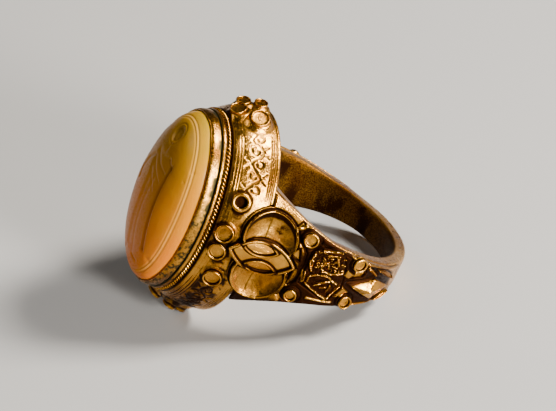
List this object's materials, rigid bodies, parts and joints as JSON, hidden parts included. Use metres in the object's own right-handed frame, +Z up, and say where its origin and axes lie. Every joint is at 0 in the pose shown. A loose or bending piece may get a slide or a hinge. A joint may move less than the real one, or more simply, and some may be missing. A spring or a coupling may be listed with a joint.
{
  "type": "signet ring",
  "caption": "Gold signet ring with an oval engraved cabochon in a tall engraved bezel box and flared shoulders with applied circles and open cells.",
  "frame": {"origin": "centre of the resting ring's bounding box on the surface it lies on", "axes": "+Z up from that surface; the ring lies on its side, leaning on the end of its bezel and the back of its hoop. X runs through the two shoulders. The stone faces -Y and up, and the hoop reaches back towards +Y."},
  "size_m": [0.0234, 0.0298, 0.0229],
  "materials": {
    "gold_hoop": "worn polished high-carat gold, warm reddish yellow",
    "gold_bezel": "engraved gold with dark patina in the cuts",
    "gold_setting": "rubbed gold rim, bright above and tarnished below",
    "gold_wire": "bright drawn gold wire and strip",
    "gold_shoulder": "chased gold with dark red-brown patina in the recesses",
    "gold_cells": "gold tube cells, soldered on",
    "stone": "satin-polished translucent agate, amber yellow to orange",
    "filling": "dull resin mastic, hidden"
  },
  "bodies": {
    "root": {"hoop": "gold_hoop", "bezel_base_plate": "gold_bezel", "bezel_wall": "gold_bezel", "bezel_filling": "filling", "setting_flange": "gold_setting", "setting_rim": "gold_setting", "milled_wire": "gold_wire", "intaglio_stone": "stone", "shoulder_a_plate": "gold_shoulder", "shoulder_a_star_panel": "gold_shoulder", "shoulder_a_lozenge": "gold_shoulder", "shoulder_a_leaf_upper": "gold_shoulder", "shoulder_a_leaf_lower": "gold_shoulder", "shoulder_a_upper_collar": "gold_wire", "shoulder_a_lower_collar": "gold_wire", "shoulder_a_almond": "gold_wire", "shoulder_a_box_cell_1": "gold_cells", "shoulder_a_plate_cell_1": "gold_cells", "end_a_cell_1": "gold_cells", "shoulder_a_box_cell_2": "gold_cells", "shoulder_a_plate_cell_2": "gold_cells", "end_a_cell_2": "gold_cells", "shoulder_a_box_cell_3": "gold_cells", "shoulder_a_plate_cell_3": "gold_cells", "end_a_cell_3": "gold_cells", "shoulder_a_box_cell_4": "gold_cells", "shoulder_a_plate_cell_4": "gold_cells", "end_a_cell_4": "gold_cells", "shoulder_b_plate": "gold_shoulder", "shoulder_b_star_panel": "gold_shoulder", "shoulder_b_lozenge": "gold_shoulder", "shoulder_b_leaf_upper": "gold_shoulder", "shoulder_b_leaf_lower": "gold_shoulder", "shoulder_b_upper_collar": "gold_wire", "shoulder_b_lower_collar": "gold_wire", "shoulder_b_almond": "gold_wire", "shoulder_b_box_cell_1": "gold_cells", "shoulder_b_plate_cell_1": "gold_cells", "end_b_cell_1": "gold_cells", "shoulder_b_box_cell_2": "gold_cells", "shoulder_b_plate_cell_2": "gold_cells", "end_b_cell_2": "gold_cells", "shoulder_b_box_cell_3": "gold_cells", "shoulder_b_plate_cell_3": "gold_cells", "end_b_cell_3": "gold_cells", "shoulder_b_box_cell_4": "gold_cells", "shoulder_b_plate_cell_4": "gold_cells", "end_b_cell_4": "gold_cells"}
  },
  "joints": []
}
